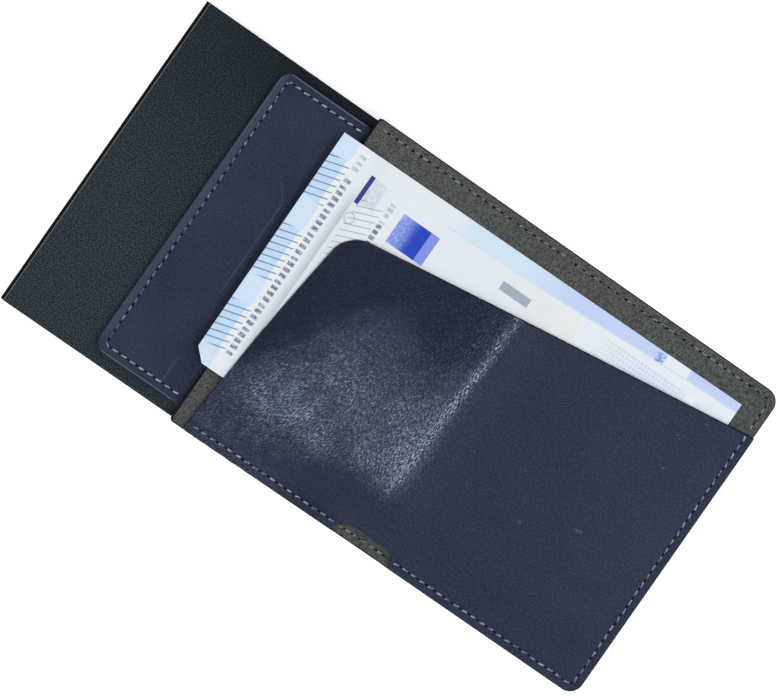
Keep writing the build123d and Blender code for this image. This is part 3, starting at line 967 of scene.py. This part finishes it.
def large_print():
    """A plain generic note: a pale blue end band, groups of thin slanting lines, a row of plain
    dashes and a pale band along the top, with a painted shade beside the pocket front's edge."""
    finish, across, up, here = paper_base("printed_note_large")
    speckle = finish.noise(finish.place(0.8), 3, 0.7)
    groups = up.band(52.4, 65.8, 0.5) + up.band(27.8, 43.6, 0.5) + up.band(5.6, 19.3, 0.5)
    groups = groups.capped()
    pale = finish.mix(groups * 0.6, (0.60, 0.74, 0.91), (0.42, 0.64, 0.92))
    pale = finish.mix(speckle.rise(0.4, 0.7) * 0.35, pale, (0.78, 0.86, 0.95))
    band = 1 - (across + groups * across.rise(4, 5) * 0.8).rise(5.1, 5.6)
    here = finish.mix(band * 0.92, here, pale)
    line = (up + across * -0.29).repeats(2.0, 0.40, 0.56, 0.04) * groups
    here = finish.mix(line * across.band(-1, 6.2, 0.3) * 0.85, here, (0.045, 0.130, 0.190))
    dash = up.repeats(1.9, 0.16, 0.74, 0.08) * up.repeats(7.6, 0.03, 0.90, 0.01)
    faint = up.band(64.2, 69.6, 0.1) * 0.45
    dash = dash * across.band(6.8, 8.8, 0.16) * (up.band(5.4, 62.9, 0.1) + faint)
    dash = dash * (0.45 + speckle.rise(0.42, 0.52) * 0.55)
    here = finish.mix(dash * 0.85, here, (0.040, 0.070, 0.165))
    # painted shade: a soft grey band down the note beside the pocket front's left edge
    here = finish.mix(across.hump(12.8, 4.0) * (1 - up.rise(54, 64)) * 0.60, here,
                      (0.36, 0.38, 0.41))
    foot = up - across.rise(50, 135) * 2.4
    top = foot.rise(67.0, 67.2) * across.rise(38, 46) * (1 - across.rise(108.5, 109))
    top = top + foot.rise(67.0, 67.2) * across.rise(116, 117)
    here = finish.mix(foot.band(66.78, 67.0, 0.06) * across.rise(30, 50) * 0.35, here,
                      (0.30, 0.36, 0.46))
    lilac = finish.mix(across.rise(58, 84), (0.66, 0.81, 0.89), (0.54, 0.64, 0.90))
    here = finish.mix(top * 0.9, here, lilac)
    stamp = block(across, up, 106.2, 108.7, 68.6, 71.2, 0.2) * speckle.rise(0.42, 0.58)
    finish.paint(Base_Color=finish.mix(stamp * 0.8, here, (0.07, 0.20, 0.48)))
    return finish


def small_print():
    """A plain generic note: a dark bar, a grey block, thin slanting lines, a ring, a plain blue
    block, a plain grey bar and faint washes."""
    finish, across, up, here = paper_base("printed_note_small")
    speckle = finish.noise(finish.place(0.7), 3, 0.7)
    clouds = finish.noise(finish.place(16), 4, 0.6)
    warm = across.band(52, 84, 8) * clouds.rise(0.35, 0.6)
    here = finish.mix(warm * 0.5, here, (0.80, 0.80, 0.68))
    cool = across.rise(72, 96) * (0.4 + clouds.rise(0.4, 0.7) * 0.6)
    here = finish.mix(cool * 0.45, here, (0.55, 0.66, 0.84))
    dots = up.repeats(1.3, 0.3, 0.7, 0.12) * across.repeats(1.1, 0.3, 0.7, 0.12)
    here = finish.mix(dots * across.rise(76, 88) * (1 - across.rise(103, 106)) * 0.5, here,
                      (0.34, 0.42, 0.62))
    here = finish.mix(across.band(106.5, 109.5, 0.5) * up.rise(46, 50) * 0.8, here,
                      (0.90, 0.91, 0.93))
    here = finish.mix(across.band(99, 103, 0.6) * up.band(44, 57, 0.8) * speckle * 0.7, here,
                      (0.36, 0.42, 0.66))

    grey = block(across, up, 1.6, 6.3, 53.7, 61.5, 0.3) * speckle.rise(0.3, 0.7)
    here = finish.mix(grey * 0.55, here, (0.42, 0.50, 0.58))
    line = (up + across * -0.38).repeats(1.9, 0.42, 0.53, 0.03) * across.band(1.4, 8.6, 0.3)
    here = finish.mix(line * up.band(37.5, 55.5, 0.6) * 0.75, here, (0.14, 0.17, 0.20))
    ring = (((across - 1.9) ** 2 + (up - 49) ** 2) ** 0.5).band(1.35, 1.65, 0.10)
    here = finish.mix(ring * 0.6, here, (0.28, 0.30, 0.36))
    bar = block(across, up, 0.2, 1.6, 53.2, 61.8)
    here = finish.mix(bar, here, (0.022, 0.050, 0.25))
    dash = up.repeats(1.75, 0.16, 0.78, 0.08) * across.band(9.3, 10.9, 0.14)
    dash = dash * (up.band(33.5, 53.0, 0.2) + up.band(54.2, 58.6, 0.2) * 0.45)
    here = finish.mix(dash * (0.5 + speckle.rise(0.42, 0.52) * 0.4), here, (0.06, 0.08, 0.13))
    blues = finish.mix(across.rise(15.5, 20.5), (0.20, 0.27, 0.78), (0.010, 0.055, 0.50))
    blues = finish.mix(across.rise(23.1, 23.4), blues, (0.24, 0.30, 0.80))
    blues = finish.mix((1 - across.rise(15.5, 20.5)) * speckle.rise(0.4, 0.7) * 0.4, blues, PAPER)
    here = finish.mix(block(across, up, 13.9, 26.1, 49.4, 58.3), here, blues)
    bar = block(across, up, 47.6, 57.0, 56.2, 58.8)
    here = finish.mix(bar * 0.8, here, (0.27, 0.34, 0.42))
    finish.paint(Base_Color=here)
    return finish


# ---------------------------------------------------------------- put together

def dress(piece, material):
    piece.data.materials.clear()
    piece.data.materials.append(material)


def section_point(u):
    return tuple(on_section(np.array([u]), ORIGIN_V, MID)[0])


def bends(piece, bodies):
    """Looks up where the fold between two bodies starts and ends along the section, and bakes the
    piece's placing into its mesh.
    """
    start, end = {
        ("case", "fold_spine"): (-2.2, 0.3),
        ("fold_lap", "middle_panel"): (0.9, 3.4),
        ("middle_panel", "side_strip"): (BEND1_U - BEND_HALF, BEND1_U + BEND_HALF),
        ("side_strip", "outer_flap"): (BEND2_U - BEND_HALF, BEND2_U + BEND_HALF),
    }[bodies]
    section_point(start)
    section_point(end)
    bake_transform(piece)


def stitch_finish(name):
    if "hole" in name:
        return "hole"
    if name.startswith("patch"):
        return "patch_thread"
    return "napped_thread" if "stitches_liner" in name else "thread"


FRONT = ("middle_panel", "side_strip")
FLAP_SIDE = ("side_strip", "outer_flap")
finishes = make_finishes()

# how far right the pocket front's foot starts, its mean heights, and the notch's area
POCKET_START, FRONT_MEAN, FLAP_MEAN, NOTCH_AREA = 5.0, 72.0, 80.0, 40.0
# how far the large note stands out to the left, and how far right each note is measured
LARGE_OUT, LARGE_END, SMALL_END = 5.5, 126.5, 126.6

for pieces, finish, slot, node, held in (
        (outer_leather(), "outer", "navy_leather", "outer_leather", "laid"),
        (suede_liner(), "suede", "suede_liner", "liner", "laid"),
        (pocket_front(), "pocket", "navy_leather", "pocket_front", "stretched")):
    for piece, bodies in zip(pieces, (FRONT, FLAP_SIDE)):
        dress(piece, finishes[finish])
        bends(piece, bodies)
        at_front = bodies == FRONT
        panels = ("middle", "side") if at_front else ("flap",)
        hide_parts(*[f"{node}_{panel}" for panel in panels])
        length = SPLIT_U if at_front else SECTION_LENGTH - SPLIT_U
        if node == "pocket_front":
            length -= POCKET_START if at_front else 0
            area = length * FRONT_MEAN - NOTCH_AREA if at_front else length * FLAP_MEAN
            length * MM
            area * MM * MM
        else:
            length * MM

patch, lap = case_patch()
for piece, bodies in ((patch, ("case", "fold_spine")), (lap, ("fold_lap", "middle_panel"))):
    dress(piece, finishes["patch"])
    bends(piece, bodies)
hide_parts("patch_leather", "patch_adhesive", "leather_spine")
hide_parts("leather_lap")

note_end, note_front, note_flap = large_note()
dress(note_end, finishes["large"])
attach(note_end, "middle_panel")
anchor = section_point(HINGE_U)
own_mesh(note_end)
bends(note_front, FRONT)
bends(note_flap, FLAP_SIDE)
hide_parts("large_note_tip")
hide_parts("large_note_middle", "large_note_side")
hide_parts("large_note_flap")
small_front, small_flap = small_note()
bends(small_front, FRONT)
bends(small_flap, FLAP_SIDE)
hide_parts("small_note_middle", "small_note_side")
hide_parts("small_note_flap")
for piece, finish, width, note in (
        (note_front, "large", SPLIT_U + LARGE_OUT, LARGE),
        (note_flap, "large", LARGE_END - SPLIT_U, LARGE),
        (small_front, "small", SPLIT_U - SMALL_LEFT, SMALL),
        (small_flap, "small", SMALL_END - SPLIT_U, SMALL)):
    dress(piece, finishes[finish])
    width * MM
    note["height"] * MM
    [note_end] if piece == note_front else []

for name, piece in stitching().items():
    dress(piece, finishes[stitch_finish(name)])
    if name.startswith("patch"):
        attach(piece, "case")
    else:
        bends(piece, FRONT if name.endswith("front") else FLAP_SIDE)
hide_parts("patch_thread")
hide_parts("seam_thread_middle",
            "seam_thread_side")
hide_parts("seam_thread_flap")

for node, finish in (("case_shell", "metal"), ("end_cap", "plastic"),
                     ("guide_rail_left", "plastic"), ("guide_rail_right", "plastic"),
                     ("lever_pivot_pin", "steel"), ("eject_lever", "plastic"),
                     ("card_brake_pads", "felt"), ("magnet_keeper_plate", "steel"),
                     ("closure_magnets", "steel")):
    dress(frame["nodes"][node], finishes[finish])


# ---------------------------------------------------------------- floor, light and camera

def floor():
    deselect()
    bpy.ops.mesh.primitive_plane_add(size=6, location=(0, 0, -0.0002))
    made = bpy.context.object
    made.name = "floor"
    pale = Finish("pale_floor", Roughness=0.9, Specular_IOR_Level=0.1,
                  Emission_Strength=0.62)
    pale.paint(Base_Color=(0.80, 0.80, 0.80, 1), Emission_Color=(1, 1, 1, 1))
    dress(made, pale.material)


def lamp(name, toward, tilt, distance, size, power, tint):
    """A square lamp, aimed at the wallet from a heading and a tilt from the upright."""
    light = bpy.data.lights.new(name, "AREA")
    light.shape, light.size = "RECTANGLE", size[0]
    light.size_y, light.energy, light.color = size[1], power, tint
    made = bpy.data.objects.new(name, light)
    bpy.context.collection.objects.link(made)
    out = Vector((sin(radians(tilt)) * cos(radians(toward)),
                  sin(radians(tilt)) * sin(radians(toward)), cos(radians(tilt))))
    made.location = out * distance
    made.rotation_mode = "QUATERNION"
    made.rotation_quaternion = out.to_track_quat("Z", "Y")


def camera():
    """Looks down from a little to the case's side, turned as a wallet thrown on a table lies."""
    data = bpy.data.cameras.new("camera")
    made = bpy.data.objects.new("camera", data)
    bpy.context.collection.objects.link(made)
    tilt_left, tilt_up, turn, distance = 9.6, 1.0, 35.25, 2.5
    data.lens, data.sensor_width = 432.8, 36.0
    back = Vector((-sin(radians(tilt_left)), sin(radians(tilt_up)), cos(radians(tilt_left))))
    back.normalize()
    up = Vector((-sin(radians(turn)), cos(radians(turn)), 0))
    right = up.cross(back).normalized()
    up = back.cross(right)
    target = Vector(place(38.76, 48.70, 4.0))
    made.matrix_world = Matrix.Translation(target + back * distance) @ Matrix(
        (right, up, back)).transposed().to_4x4()
    data.clip_start, data.clip_end = 0.05, 20
    bpy.context.scene.camera = made


floor()
lamp("key", 0, 28, 0.75, (0.14, 0.30), 1.9, (0.64, 0.76, 1.0))
lamp("front_left", 205, 56, 0.9, (0.6, 0.6), 6.9, (1.0, 0.98, 0.92))
lamp("back_right", 60, 62, 0.9, (0.6, 0.5), 5.1, (1.0, 0.98, 0.92))
camera()
world = bpy.data.worlds.new("studio")
bpy.context.scene.world = world
world.use_nodes = True
world.node_tree.nodes["Background"].inputs["Color"].default_value = (1, 1, 1, 1)
world.node_tree.nodes["Background"].inputs["Strength"].default_value = 0.08
bpy.context.scene.view_settings.view_transform = "Standard"
